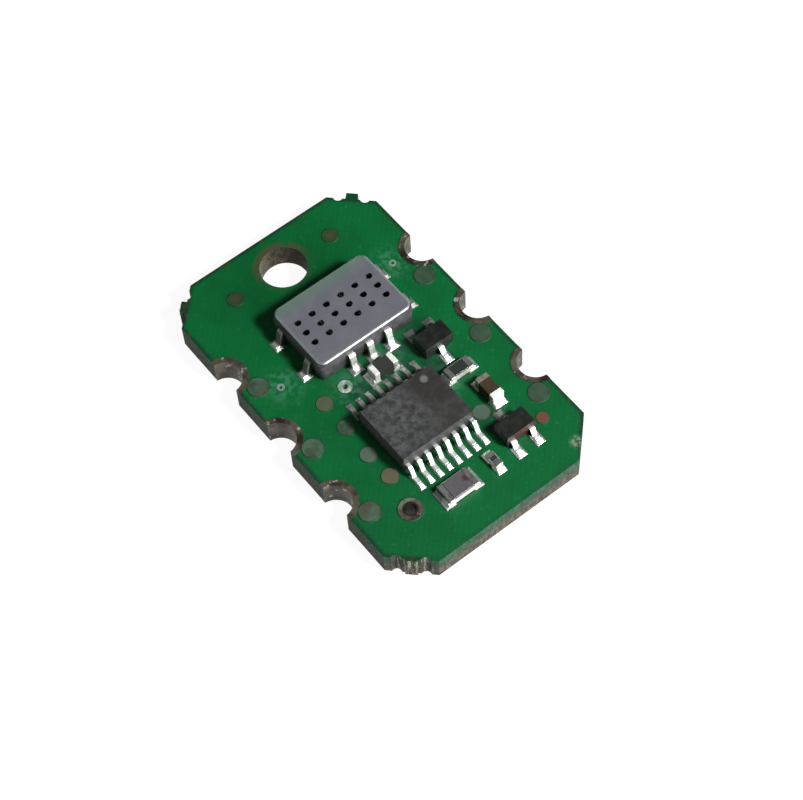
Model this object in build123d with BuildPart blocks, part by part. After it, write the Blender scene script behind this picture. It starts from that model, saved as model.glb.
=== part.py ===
"""Gas sensor module: a small castellated circuit board that carries a lidded gas sensor and its circuit.

Millimetres. The origin is the centre of the board's underside, +X runs along the board away from the
mounting hole, +Y runs across it, and +Z is up, out of the side that carries the components.
"""
import os
from collections import namedtuple

from build123d import *

# Board: the laminate with its mask, and how its corners are cut
board_length = 22.86
board_width = 13.97
board_thickness = 1.6
corner_cut = 2.1
mounting_hole_diameter = 2.8
mounting_hole_inset = 2.4

# Torn remains of the breakaway tabs, in the middle of a cut corner, between two drilled bites
tab_width = 0.7
tab_bite_radius = 0.3
tab_bite_spacing = 1.6
tab_bite_depth = 0.18
tab_stubs = {"left_top": 0.42, "left_bottom": 0.32, "right_bottom": 0.12}

# Copper and solder that everything stands on
land_thickness = 0.035
plating_thickness = 0.05
solder_film = 0.03
solder_inset = 0.03

# Edge contacts: half barrels in the notches of the long sides
contacts_per_side = 3
contact_pitch = 5.08
contact_radius = 1.05
contact_set_out = 0.08
contact_land_width = 0.3

# Plated holes and test pads: places and radii
test_hole_place = (8.0, -4.1)
test_hole_radius = 0.35
test_hole_ring_radius = 0.68
sensor_via_place = (-0.35, -2.15)
sensor_via_radius = 0.17
sensor_via_ring_radius = 0.42
small_via_places = [(-5.25, 5.0), (-2.6, -4.95)]
small_via_radius = 0.1
small_via_ring_radius = 0.24
edge_pad_radius = 0.6
edge_pad_shift = 1.65
edge_pad_inset = 1.08
face_pad_radius = 0.48
row_pad_places = [(-0.2, -3.7), (1.75, -3.7), (3.9, -3.8), (5.7, -3.7)]
lone_pad_places = [(5.72, 2.66), (-9.1, 3.4), (-9.0, -3.45)]
small_pad_radius = 0.36
small_pad_place = (8.12, 5.04)

# Gas sensor: its place, its moulded base, and the flat lid with its field of holes
sensor_x = -3.67
sensor_y = 0.28
sensor_width = 4.75
sensor_length = 6.57
sensor_height = 1.69
sensor_standoff = 0.06
sensor_corner_radius = 0.35
sensor_wall = 0.6
sensor_ledge = 0.5
sensor_floor = 0.25
lid_inset_x = 0.03
lid_inset_y = 0.05
lid_thickness = 0.2
lid_corner_radius = 0.5
lid_edge_radius = 0.12
lid_hole_diameter = 0.42
lid_hole_columns = 3
lid_hole_rows = 6
lid_hole_pitch_x = 0.8
lid_hole_pitch_y = 1.0

# Sensor leads: three on each long side, two on each short side
sensor_lead_width = 0.38
sensor_lead_thickness = 0.15
sensor_lead_height = 1.15
sensor_lead_reach = 0.62
sensor_lead_foot = 0.25
sensor_lead_shoulder = 0.16
sensor_lead_finger = 0.35
sensor_leads_per_side = 3
sensor_side_pitch = 1.27
sensor_leads_per_end = 2
sensor_end_pitch = 2.54
sensor_land_width = 0.8
sensor_land_heel = 0.3
sensor_land_toe = 0.15

# Inside the sensor: the metal pad, the sensing die, the sensing spot and the bond wires
die_pad_clearance = 0.2
die_pad_thickness = 0.1
die_inset = 0.2
die_thickness = 0.35
sensing_spot_radius = 0.3
sensing_spot_thickness = 0.03
bond_wire_radius = 0.02
bond_pad_inset = 0.2
bond_loop_gap = 0.07
bond_bend_radius = 0.14

# Integrated circuit: sixteen leads in two rows
ic_x = 4.1
ic_y = -0.55
ic_width = 3.95
ic_length = 4.95
ic_height = 1.4
ic_standoff = 0.12
ic_corner_radius = 0.11
ic_lead_width = 0.25
ic_lead_thickness = 0.14
ic_lead_height = 0.75
ic_lead_reach = 1.02
ic_lead_foot = 0.45
ic_lead_shoulder = 0.25
ic_leads_per_side = 8
ic_lead_pitch = 0.635
ic_land_width = 0.38
ic_land_heel = 0.3
ic_land_toe = 0.42
ic_mark_radius = 0.25
ic_mark_depth = 0.05
ic_mark_inset_x = 0.6
ic_mark_inset_y = 0.85

# Transistors: one lead on one side, two on the other
transistor_places = [(7.8, 3.3), (0.55, 3.4)]
transistor_width = 1.25
transistor_length = 2.0
transistor_height = 0.95
transistor_standoff = 0.05
transistor_corner_radius = 0.06
transistor_lead_width = 0.32
transistor_lead_thickness = 0.12
transistor_lead_height = 0.5
transistor_lead_reach = 0.53
transistor_lead_foot = 0.24
transistor_lead_shoulder = 0.12
transistor_lead_pitch = 1.3
transistor_land_width = 0.62
transistor_land_heel = 0.2
transistor_land_toe = 0.42

# Chip parts: name, place, the way each one lies, and its size
chip_tiny = (1.0, 0.5)
chip_small = (1.6, 0.8)
chip_large = (2.0, 1.25)
resistor_height = 0.45
capacitor_height = 0.8
resistors = {
    "resistor_1": (2.9, 3.32, "across", chip_small),
    "resistor_2": (8.66, -1.35, "across", chip_large),
    "resistor_3": (8.65, 1.17, "along", chip_tiny),
}
capacitors = {
    "capacitor_1": (5.05, 3.78, "along", chip_small),
    "capacitor_2": (0.18, 0.1, "across", chip_small),
}
cap_length = 0.32
cap_thickness = 0.03
cap_edge_radius = 0.05
glaze_gap = 0.02
glaze_margin = 0.06
glaze_thickness = 0.05
glaze_edge_radius = 0.02
chip_land_toe = 0.3
chip_land_heel = 0.05
chip_land_margin = 0.06

# Shared form of the moulded packages, of the leads' bends and of the solder, as shares of what they wet
mould_draft = 6
lead_bend = 0.8
lead_seat_depth = 0.2
foot_wetting = 0.75
heel_wetting = 1.7
cap_wetting = 0.6
fillet_hollow = 0.2

# Heights worked out from the values above
board_top = board_thickness
land_top = board_top + land_thickness
seat = land_top + solder_film
mounting_hole_x = mounting_hole_inset - board_length / 2
contact_places = [
    ((place - (contacts_per_side - 1) / 2) * contact_pitch, side)
    for side in (-1, 1)
    for place in range(contacts_per_side)
]

# The form of one package's leads and lands, gathered from the values above
LeadForm = namedtuple(
    "LeadForm", "width thickness height reach foot shoulder land_width land_heel land_toe"
)
sensor_lead_form = LeadForm(
    sensor_lead_width,
    sensor_lead_thickness,
    sensor_lead_height,
    sensor_lead_reach,
    sensor_lead_foot,
    sensor_lead_shoulder,
    sensor_land_width,
    sensor_land_heel,
    sensor_land_toe,
)
ic_lead_form = LeadForm(
    ic_lead_width,
    ic_lead_thickness,
    ic_lead_height,
    ic_lead_reach,
    ic_lead_foot,
    ic_lead_shoulder,
    ic_land_width,
    ic_land_heel,
    ic_land_toe,
)
transistor_lead_form = LeadForm(
    transistor_lead_width,
    transistor_lead_thickness,
    transistor_lead_height,
    transistor_lead_reach,
    transistor_lead_foot,
    transistor_lead_shoulder,
    transistor_land_width,
    transistor_land_heel,
    transistor_land_toe,
)

os.makedirs("parts", exist_ok=True)


def finish(piece, name):
    """Labels one finished piece and writes it out under its own name."""
    piece.part.label = name
    export_step(piece.part, f"parts/{name}.step")


def row(count, pitch):
    """Even places about zero, as of the leads along one side."""
    return [(place - (count - 1) / 2) * pitch for place in range(count)]


def outward_plane(x, y, out):
    """An upright plane through a point of the board, with its own X running outwards and its Y up."""
    outward = Vector(*out, 0)
    return Plane(origin=(x, y, 0), x_dir=outward, z_dir=outward.cross(Vector(0, 0, 1)))


# Board
def contact_ring(x, side, ring_radius):
    """The part of a ring round one notch that lies on the board."""
    with Locations((x, side * (board_width / 2 + contact_set_out))):
        Circle(ring_radius)
        Circle(contact_radius, mode=Mode.SUBTRACT)
    Rectangle(board_length, board_width, mode=Mode.INTERSECT)


def tab_plane(x_side, y_side):
    """Lies in the board's face at the middle of a cut corner, with its own Y pointing out of the board."""
    middle_x = x_side * (board_length - corner_cut) / 2
    middle_y = y_side * (board_width - corner_cut) / 2
    return Plane(origin=(middle_x, middle_y, 0), x_dir=(y_side, -x_side, 0), z_dir=(0, 0, 1))


tab_planes = {
    "left_top": tab_plane(-1, 1),
    "left_bottom": tab_plane(-1, -1),
    "right_bottom": tab_plane(1, -1),
}

with BuildPart() as board:
    with BuildSketch():
        Rectangle(board_length, board_width)
        chamfer(vertices(), corner_cut)
        for notch_x, notch_side in contact_places:
            with Locations((notch_x, notch_side * (board_width / 2 + contact_set_out))):
                Circle(contact_radius + plating_thickness, mode=Mode.SUBTRACT)
        with Locations((mounting_hole_x, 0)):
            Circle(mounting_hole_diameter / 2, mode=Mode.SUBTRACT)
        with Locations(test_hole_place):
            Circle(test_hole_radius + plating_thickness, mode=Mode.SUBTRACT)
        with Locations(sensor_via_place):
            Circle(sensor_via_radius + plating_thickness, mode=Mode.SUBTRACT)
        with Locations(small_via_places):
            Circle(small_via_radius + plating_thickness, mode=Mode.SUBTRACT)
    extrude(amount=board_thickness)
    # Each tab broke off between its two drilled bites and left a short stub
    for corner, stub in tab_stubs.items():
        with BuildSketch(tab_planes[corner]):
            with Locations((0, stub / 2)):
                Rectangle(tab_width, stub)
        extrude(amount=board_thickness)
        with BuildSketch(tab_planes[corner]):
            with Locations((0, tab_bite_radius - tab_bite_depth)):
                with GridLocations(tab_bite_spacing, 1, 2, 1):
                    Circle(tab_bite_radius)
        extrude(amount=board_thickness, mode=Mode.SUBTRACT)
    # The lands of the underside lie flush, so that the module seats flat on another board
    for notch_x, notch_side in contact_places:
        with BuildSketch():
            contact_ring(notch_x, notch_side, contact_radius + plating_thickness + contact_land_width)
        extrude(amount=land_thickness, mode=Mode.SUBTRACT)
    with BuildSketch():
        with Locations(test_hole_place):
            Circle(test_hole_ring_radius)
        with Locations(sensor_via_place):
            Circle(sensor_via_ring_radius)
        with Locations(small_via_places):
            Circle(small_via_ring_radius)
    extrude(amount=land_thickness, mode=Mode.SUBTRACT)
finish(board, "board")

# Edge contacts: each one lines its notch and laps over both faces of the board
for number, (notch_x, notch_side) in enumerate(contact_places, 1):
    with BuildPart() as edge_contact:
        with BuildSketch():
            contact_ring(notch_x, notch_side, contact_radius + plating_thickness)
        extrude(amount=land_top)
        for face_height in (0, board_top):
            with BuildSketch(Plane.XY.offset(face_height)):
                contact_ring(notch_x, notch_side, contact_radius + plating_thickness + contact_land_width)
            extrude(amount=land_thickness)
    finish(edge_contact, f"edge_contact_{number}")


# Plated holes: a barrel through the board with a ring on each face, turned as one profile
def plated_hole(place, hole_radius, ring_radius):
    """One plated hole at its place."""
    barrel_radius = hole_radius + plating_thickness
    with BuildPart() as hole:
        with BuildSketch(outward_plane(*place, (1, 0))):
            with BuildLine():
                Polyline(
                    (hole_radius, 0),
                    (ring_radius, 0),
                    (ring_radius, land_thickness),
                    (barrel_radius, land_thickness),
                    (barrel_radius, board_top),
                    (ring_radius, board_top),
                    (ring_radius, land_top),
                    (hole_radius, land_top),
                    close=True,
                )
            make_face()
        revolve(axis=Axis((*place, 0), (0, 0, 1)))
    return hole.part


with BuildPart() as test_hole:
    add(plated_hole(test_hole_place, test_hole_radius, test_hole_ring_radius))
finish(test_hole, "test_hole")

with BuildPart() as vias:
    add(plated_hole(sensor_via_place, sensor_via_radius, sensor_via_ring_radius))
    for via_place in small_via_places:
        add(plated_hole(via_place, small_via_radius, small_via_ring_radius))
finish(vias, "vias")

# Bare copper test pads
with BuildPart() as edge_test_pads:
    with BuildSketch(Plane.XY.offset(board_top)):
        for notch_x, notch_side in contact_places:
            with Locations((notch_x + edge_pad_shift, notch_side * (board_width / 2 - edge_pad_inset))):
                Circle(edge_pad_radius)
    extrude(amount=land_thickness)
finish(edge_test_pads, "edge_test_pads")

with BuildPart() as face_test_pads:
    with BuildSketch(Plane.XY.offset(board_top)):
        with Locations(row_pad_places + lone_pad_places):
            Circle(face_pad_radius)
        with Locations(small_pad_place):
            Circle(small_pad_radius)
    extrude(amount=land_thickness)
finish(face_test_pads, "face_test_pads")


# Gull-wing leads and their joints. A lead is given by the point that it points away from, its way out and
# the distance from that point to the package's face.
Lead = namedtuple("Lead", "x y out face")


def lead_profile(lead, form, root):
    """A lead seen from its side: out of the package, down to the board, and out again as a foot."""
    toe = lead.face + form.reach
    foot_height = seat + form.thickness / 2
    with BuildSketch(outward_plane(lead.x, lead.y, lead.out)) as profile:
        with BuildLine():
            FilletPolyline(
                (root, board_top + form.height),
                (lead.face + form.shoulder, board_top + form.height),
                (toe - form.foot, foot_height),
                (toe, foot_height),
                radius=lead_bend * form.thickness,
            )
        trace(line_width=form.thickness)
    return profile.sketch


def formed_leads(leads, form, root_depth):
    """The leads of one side, each with its root in the package."""
    with BuildPart() as side_leads:
        for lead in leads:
            extrude(lead_profile(lead, form, lead.face - root_depth), amount=form.width / 2, both=True)
    return side_leads.part


def hollow_arc(low, high):
    """A fillet of solder seen from its side, drawn in by its surface tension."""
    chord_middle = (Vector(*low) + Vector(*high)) / 2
    corner = Vector(high[0], low[1])
    ThreePointArc(low, chord_middle + (corner - chord_middle) * fillet_hollow, high)


def joint_profile(lead, form):
    """The solder round a foot seen from its side: hollow fillets rise to the heel and the toe."""
    toe = lead.face + form.reach
    ankle = toe - form.foot
    heel_start = (ankle - form.land_heel + solder_inset, land_top)
    heel_top = (ankle - form.thickness / 2, seat + heel_wetting * form.thickness)
    toe_top = (toe, seat + foot_wetting * form.thickness)
    toe_end = (toe + form.land_toe - solder_inset, land_top)
    with BuildSketch(outward_plane(lead.x, lead.y, lead.out)) as profile:
        with BuildLine():
            Polyline(heel_start, toe_end)
            hollow_arc(toe_end, toe_top)
            Polyline(toe_top, (ankle, toe_top[1]), heel_top)
            hollow_arc(heel_start, heel_top)
        make_face()
    return profile.sketch


def solder_joints(leads, form, pieces):
    """One joint under each lead, with the leads' own metal left out."""
    with BuildPart() as joints:
        for lead in leads:
            extrude(joint_profile(lead, form), amount=form.land_width / 2 - solder_inset, both=True)
        for piece in pieces:
            add(piece, mode=Mode.SUBTRACT)
    return joints.part


def lead_lands(leads, form):
    """One copper land under each lead."""
    with BuildPart() as lands:
        for lead in leads:
            start = lead.face + form.reach - form.foot - form.land_heel
            end = lead.face + form.reach + form.land_toe
            with BuildSketch(Plane(origin=(lead.x, lead.y, board_top), x_dir=(*lead.out, 0))):
                with Locations(((start + end) / 2, 0)):
                    Rectangle(end - start, form.land_width)
            extrude(amount=land_thickness)
    return lands.part


def moulded_package(x, y, width, length, parting, bottom, top, corner_radius):
    """A moulded package: it narrows upwards and downwards from its parting plane."""
    with BuildPart() as package:
        for way, height in ((1, top - parting), (-1, parting - bottom)):
            with BuildSketch(Plane(origin=(x, y, parting), z_dir=(0, 0, way))):
                RectangleRounded(width, length, corner_radius)
            extrude(amount=height, taper=mould_draft)
    return package.part


# Gas sensor: its heights, and its leads side by side
sensor_bottom = board_top + sensor_standoff
sensor_top = board_top + sensor_height
lid_bottom = sensor_top - lid_thickness
lead_plane_height = board_top + sensor_lead_height
ledge_height = lead_plane_height - sensor_lead_thickness / 2
cavity_floor = sensor_bottom + sensor_floor
cavity_width = sensor_width - 2 * sensor_wall
cavity_length = sensor_length - 2 * sensor_wall
pit_width = cavity_width - 2 * sensor_ledge
pit_length = cavity_length - 2 * sensor_ledge

side_row = row(sensor_leads_per_side, sensor_side_pitch)
end_row = row(sensor_leads_per_end, sensor_end_pitch)
sensor_leads = {
    "front": [Lead(sensor_x, sensor_y + shift, (1, 0), sensor_width / 2) for shift in side_row],
    "back": [Lead(sensor_x, sensor_y + shift, (-1, 0), sensor_width / 2) for shift in side_row],
    "left": [Lead(sensor_x + shift, sensor_y, (0, -1), sensor_length / 2) for shift in end_row],
    "right": [Lead(sensor_x + shift, sensor_y, (0, 1), sensor_length / 2) for shift in end_row],
}
sensor_lead_parts = []
for side_name, leads in sensor_leads.items():
    with BuildPart() as side_leads:
        add(formed_leads(leads, sensor_lead_form, sensor_wall + sensor_lead_finger))
    sensor_lead_parts.append(side_leads.part)
    finish(side_leads, f"sensor_leads_{side_name}")

with BuildPart() as sensor_base:
    add(
        moulded_package(
            sensor_x,
            sensor_y,
            sensor_width,
            sensor_length,
            lead_plane_height,
            sensor_bottom,
            lid_bottom,
            sensor_corner_radius,
        )
    )
    # The cavity: wide above the ledge that carries the leads' inner ends, narrow below it
    with BuildSketch(Plane((sensor_x, sensor_y, ledge_height))):
        Rectangle(cavity_width, cavity_length)
    extrude(amount=lid_bottom - ledge_height, mode=Mode.SUBTRACT)
    with BuildSketch(Plane((sensor_x, sensor_y, cavity_floor))):
        Rectangle(pit_width, pit_length)
    extrude(amount=ledge_height - cavity_floor, mode=Mode.SUBTRACT)
    # The plastic is moulded round the leads
    for leads_part in sensor_lead_parts:
        add(leads_part, mode=Mode.SUBTRACT)
finish(sensor_base, "sensor_base")

with BuildPart() as sensor_lid:
    with BuildSketch(Plane((sensor_x, sensor_y, lid_bottom))):
        RectangleRounded(sensor_width - 2 * lid_inset_x, sensor_length - 2 * lid_inset_y, lid_corner_radius)
    extrude(amount=lid_thickness)
    fillet(sensor_lid.faces().sort_by(Axis.Z)[-1].edges(), lid_edge_radius)
    with BuildSketch(Plane((sensor_x, sensor_y, lid_bottom))):
        with GridLocations(lid_hole_pitch_x, lid_hole_pitch_y, lid_hole_columns, lid_hole_rows):
            Circle(lid_hole_diameter / 2)
    extrude(amount=lid_thickness, mode=Mode.SUBTRACT)
finish(sensor_lid, "sensor_lid")

# Inside the sensor: the metal pad on the cavity's floor, the die on it, and the sensing spot on top
die_pad_size = pit_width - 2 * die_pad_clearance
die_size = die_pad_size - 2 * die_inset
die_bottom = cavity_floor + die_pad_thickness
die_top = die_bottom + die_thickness
with BuildPart() as sensor_die_pad:
    with BuildSketch(Plane((sensor_x, sensor_y, cavity_floor))):
        Rectangle(die_pad_size, die_pad_size)
    extrude(amount=die_pad_thickness)
finish(sensor_die_pad, "sensor_die_pad")

with BuildPart() as sensor_die:
    with BuildSketch(Plane((sensor_x, sensor_y, die_bottom))):
        Rectangle(die_size, die_size)
    extrude(amount=die_thickness)
finish(sensor_die, "sensor_die")

with BuildPart() as sensing_spot:
    with BuildSketch(Plane((sensor_x, sensor_y, die_top))):
        Circle(sensing_spot_radius)
    extrude(amount=sensing_spot_thickness)
finish(sensing_spot, "sensing_spot")

# Bond wires: up from each corner of the die, outwards over the ledge, and down on a lead's inner end
finger_top = lead_plane_height + sensor_lead_thickness / 2
finger_end = sensor_width / 2 - sensor_wall - sensor_lead_finger / 2
loop_height = lid_bottom - bond_loop_gap
bond_pad = die_size / 2 - bond_pad_inset
with BuildPart() as sensor_bond_wires:
    for x_side in (-1, 1):
        for y_side in (-1, 1):
            pad = Vector(sensor_x + x_side * bond_pad, sensor_y + y_side * bond_pad)
            finger = Vector(sensor_x + x_side * finger_end, sensor_y + y_side * max(side_row))
            span = finger - pad
            heading = span.normalized()
            with BuildLine(outward_plane(pad.X, pad.Y, (heading.X, heading.Y))) as loop:
                FilletPolyline(
                    (0, die_top),
                    (0, loop_height),
                    (span.length, loop_height),
                    (span.length, finger_top),
                    radius=bond_bend_radius,
                )
            with BuildSketch(Plane((pad.X, pad.Y, die_top))):
                Circle(bond_wire_radius)
            sweep(path=loop.line)
finish(sensor_bond_wires, "sensor_bond_wires")

# Integrated circuit
ic_row = row(ic_leads_per_side, ic_lead_pitch)
ic_leads = {
    "front": [Lead(ic_x, ic_y + shift, (1, 0), ic_width / 2) for shift in ic_row],
    "back": [Lead(ic_x, ic_y + shift, (-1, 0), ic_width / 2) for shift in ic_row],
}
ic_lead_parts = []
for side_name, leads in ic_leads.items():
    with BuildPart() as side_leads:
        add(formed_leads(leads, ic_lead_form, lead_seat_depth))
    ic_lead_parts.append(side_leads.part)
    finish(side_leads, f"ic_leads_{side_name}")

ic_top = board_top + ic_height
with BuildPart() as ic_body:
    add(
        moulded_package(
            ic_x,
            ic_y,
            ic_width,
            ic_length,
            board_top + ic_lead_height,
            board_top + ic_standoff,
            ic_top,
            ic_corner_radius,
        )
    )
    # The round dimple that marks the first lead
    with BuildSketch(Plane((ic_x, ic_y, ic_top))):
        with Locations((ic_mark_inset_x - ic_width / 2, ic_length / 2 - ic_mark_inset_y)):
            Circle(ic_mark_radius)
    extrude(amount=-ic_mark_depth, mode=Mode.SUBTRACT)
    for leads_part in ic_lead_parts:
        add(leads_part, mode=Mode.SUBTRACT)
finish(ic_body, "ic_body")

# Transistors: the first has its single lead at the back, the second at the front
single_lead_sides = [-1, 1]
pair_row = row(2, transistor_lead_pitch)
transistor_leads = []
transistor_lead_parts = []
for (body_x, body_y), single_side in zip(transistor_places, single_lead_sides):
    face = transistor_width / 2
    legs = [Lead(body_x, body_y, (single_side, 0), face)]
    legs += [Lead(body_x, body_y + shift, (-single_side, 0), face) for shift in pair_row]
    number = len(transistor_lead_parts) + 1
    with BuildPart() as legs_part:
        add(formed_leads(legs, transistor_lead_form, lead_seat_depth))
    finish(legs_part, f"transistor_{number}_leads")
    with BuildPart() as transistor_body:
        add(
            moulded_package(
                body_x,
                body_y,
                transistor_width,
                transistor_length,
                board_top + transistor_lead_height,
                board_top + transistor_standoff,
                board_top + transistor_height,
                transistor_corner_radius,
            )
        )
        add(legs_part.part, mode=Mode.SUBTRACT)
    finish(transistor_body, f"transistor_{number}_body")
    transistor_leads += legs
    transistor_lead_parts.append(legs_part.part)

# Lands and solder of the leaded packages
all_sensor_leads = [lead for leads in sensor_leads.values() for lead in leads]
all_ic_leads = [lead for leads in ic_leads.values() for lead in leads]
leaded_packages = {
    "sensor": (all_sensor_leads, sensor_lead_form, sensor_lead_parts),
    "ic": (all_ic_leads, ic_lead_form, ic_lead_parts),
    "transistor": (transistor_leads, transistor_lead_form, transistor_lead_parts),
}
for package_name, (leads, form, lead_parts) in leaded_packages.items():
    with BuildPart() as lands:
        add(lead_lands(leads, form))
    finish(lands, f"{package_name}_lands")
    with BuildPart() as solder:
        add(solder_joints(leads, form, lead_parts))
    finish(solder, f"{package_name}_solder")

# Chip parts: each lies along its own X, with its underside on the solder
chip_directions = {"along": (1, 0), "across": (0, 1)}
bottom_middle = (Align.CENTER, Align.CENTER, Align.MIN)


def chip_plane(chip, height):
    """The plane of a chip part at a height, with its own X towards one of the part's ends."""
    x, y, lie, _ = chip
    return Plane(origin=(x, y, height), x_dir=(*chip_directions[lie], 0))


def core_box(chip, height, core_width, mode):
    """The ceramic of a chip part, inside the metal of its end caps."""
    with Locations((0, 0, cap_thickness)):
        Box(
            chip[3][0] - 2 * cap_thickness,
            core_width,
            height - 2 * cap_thickness,
            align=bottom_middle,
            mode=mode,
        )


def chip_pieces(chip, height, core_width):
    """The ceramic of a chip part and the two metal ends that are wrapped round it."""
    length, width = chip[3]
    with BuildPart(chip_plane(chip, seat)) as core:
        core_box(chip, height, core_width, Mode.ADD)
    with BuildPart(chip_plane(chip, seat)) as ends:
        Box(length, width, height, align=bottom_middle)
        fillet(edges(), cap_edge_radius)
        Box(length - 2 * cap_length, width, height, align=bottom_middle, mode=Mode.SUBTRACT)
        core_box(chip, height, core_width, Mode.SUBTRACT)
    return core, ends


chip_heights = {}
for name, chip in resistors.items():
    length, width = chip[3]
    resistor_core, resistor_ends = chip_pieces(chip, resistor_height, width)
    finish(resistor_core, f"{name}_core")
    finish(resistor_ends, f"{name}_ends")
    # The cover glaze lies on the ceramic between the two ends
    with BuildPart(chip_plane(chip, seat + resistor_height - cap_thickness)) as resistor_glaze:
        glaze_length = length - 2 * (cap_length + glaze_gap)
        Box(glaze_length, width - 2 * glaze_margin, glaze_thickness, align=bottom_middle)
        fillet(faces().sort_by(Axis.Z)[-1].edges(), glaze_edge_radius)
    finish(resistor_glaze, f"{name}_glaze")
    chip_heights[name] = resistor_height

for name, chip in capacitors.items():
    core_width = chip[3][1] - 2 * cap_thickness
    capacitor_core, capacitor_ends = chip_pieces(chip, capacitor_height, core_width)
    finish(capacitor_core, f"{name}_core")
    finish(capacitor_ends, f"{name}_ends")
    chip_heights[name] = capacitor_height

# Lands and solder of the chip parts
chips = {**resistors, **capacitors}
with BuildPart() as chip_lands:
    for chip in chips.values():
        length, width = chip[3]
        start = length / 2 - cap_length - chip_land_heel
        end = length / 2 + chip_land_toe
        with BuildSketch(chip_plane(chip, board_top)):
            with GridLocations(start + end, 1, 2, 1):
                Rectangle(end - start, width + 2 * chip_land_margin)
        extrude(amount=land_thickness)
finish(chip_lands, "chip_lands")

with BuildPart() as chip_solder:
    for name, chip in chips.items():
        x, y, lie, (length, width) = chip
        for way in (-1, 1):
            out = (way * chip_directions[lie][0], way * chip_directions[lie][1])
            cap_end = length / 2
            film_start = (cap_end - cap_length, land_top)
            fillet_end = (cap_end + chip_land_toe - solder_inset, land_top)
            fillet_top = (cap_end, seat + cap_wetting * chip_heights[name])
            with BuildSketch(outward_plane(x, y, out)):
                with BuildLine():
                    Polyline(film_start, fillet_end)
                    hollow_arc(fillet_end, fillet_top)
                    Polyline(fillet_top, (cap_end, seat), (film_start[0], seat), film_start)
                make_face()
            extrude(amount=width / 2 + chip_land_margin - solder_inset, both=True)
finish(chip_solder, "chip_solder")
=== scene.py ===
# %% [markdown]
# # A gas sensor module, dressed over its CAD frame
# The object is a small green circuit board, 23 mm long, that carries a lidded gas sensor and its circuit.
# The solids come from CAD and stay where they are. This lesson adds what a camera sees and a solid model
# doesn't hold: the finishes, the solder, the tracks under the mask and the torn glass at the corners.

# %% Load the frame
import math

import bmesh
import bpy
import numpy as np
from mathutils import Matrix, Vector


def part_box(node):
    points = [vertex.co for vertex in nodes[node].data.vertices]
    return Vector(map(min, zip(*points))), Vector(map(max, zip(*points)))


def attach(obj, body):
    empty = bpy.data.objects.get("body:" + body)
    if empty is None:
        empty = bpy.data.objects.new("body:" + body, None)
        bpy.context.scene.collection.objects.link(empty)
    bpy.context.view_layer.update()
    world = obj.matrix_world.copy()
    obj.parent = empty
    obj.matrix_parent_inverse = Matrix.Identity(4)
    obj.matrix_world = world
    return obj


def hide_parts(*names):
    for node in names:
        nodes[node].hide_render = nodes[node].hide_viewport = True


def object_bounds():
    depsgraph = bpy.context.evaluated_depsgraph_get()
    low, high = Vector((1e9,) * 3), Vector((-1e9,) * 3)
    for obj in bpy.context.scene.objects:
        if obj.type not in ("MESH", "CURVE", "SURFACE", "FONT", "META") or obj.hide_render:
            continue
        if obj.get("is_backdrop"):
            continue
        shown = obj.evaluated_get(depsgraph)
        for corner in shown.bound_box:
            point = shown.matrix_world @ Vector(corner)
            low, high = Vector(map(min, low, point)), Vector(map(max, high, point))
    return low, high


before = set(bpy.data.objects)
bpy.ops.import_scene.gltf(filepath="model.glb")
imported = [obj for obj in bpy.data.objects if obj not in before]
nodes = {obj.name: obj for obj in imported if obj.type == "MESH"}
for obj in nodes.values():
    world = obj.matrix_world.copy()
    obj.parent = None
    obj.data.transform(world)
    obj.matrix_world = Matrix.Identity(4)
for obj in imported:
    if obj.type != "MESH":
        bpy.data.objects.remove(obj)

MM = 0.001
cad_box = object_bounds()
print("nodes in the frame:", len(nodes))


def size_mm(node):
    """Lowest corner, highest corner and middle of a CAD node, in millimetres."""
    low, high = (np.array(corner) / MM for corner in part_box(node))
    return low, high, (low + high) / 2


HALF_LENGTH, HALF_WIDTH, BOARD_TOP = size_mm("board")[1].tolist()
print("board, mm:", round(2 * HALF_LENGTH, 2), round(2 * HALF_WIDTH, 2), round(BOARD_TOP, 2))

# %% [markdown]
# ## Where each solid lies
# A CAD node may hold many solids, such as the sixteen lands of the integrated circuit. Their places are
# needed later, for the solder that lies on them. They could be typed in from the drawing, but measuring them
# keeps this file right when the drawing changes. A CAD mesh is loose triangles, so a copy is merged first,
# and then each set of joined vertices is one solid.

# %% Solids of a node
MERGE_MM = 0.002


def solids_of(node):
    """Lowest and highest corner of each solid of a CAD node, in millimetres, always in one order."""
    merged = bmesh.new()
    merged.from_mesh(nodes[node].data)
    bmesh.ops.remove_doubles(merged, verts=merged.verts, dist=MERGE_MM * MM)
    merged.verts.index_update()
    left = set(range(len(merged.verts)))
    merged.verts.ensure_lookup_table()
    boxes = []
    while left:
        front = [left.pop()]
        found = []
        while front:
            vertex = merged.verts[front.pop()]
            found.append(tuple(vertex.co))
            for edge in vertex.link_edges:
                other = edge.other_vert(vertex).index
                if other in left:
                    left.remove(other)
                    front.append(other)
        places = np.array(found) / MM
        boxes.append((places.min(0), places.max(0)))
    merged.free()
    return sorted(boxes, key=lambda box: tuple(box[0].round(2)))


print("lands of the integrated circuit:", len(solids_of("ic_lands")))

# %% [markdown]
# ## Camera
# The photograph was taken from above and to one side, with a long lens. A camera is easiest to place by the
# point that it looks at, two angles, a distance and a small roll, as on a tripod. The values were found by
# matching the board's corners, holes and contacts to the picture. A sideways shift of the whole camera
# keeps the object a little off the centre of the frame without tilting the lens.

# %% Camera
PHOTO_WIDTH_PX = 803
TARGET_MM = Vector((0, 0, 0.8))
AZIMUTH = math.radians(55.738)
ELEVATION = math.radians(58.839)
ROLL = math.radians(-4.433)
DISTANCE_MM = 124.418
FOCAL_PX = 2218.38
SLIDE_RIGHT_MM = -1.188
SLIDE_UP_MM = 1.252

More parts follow.
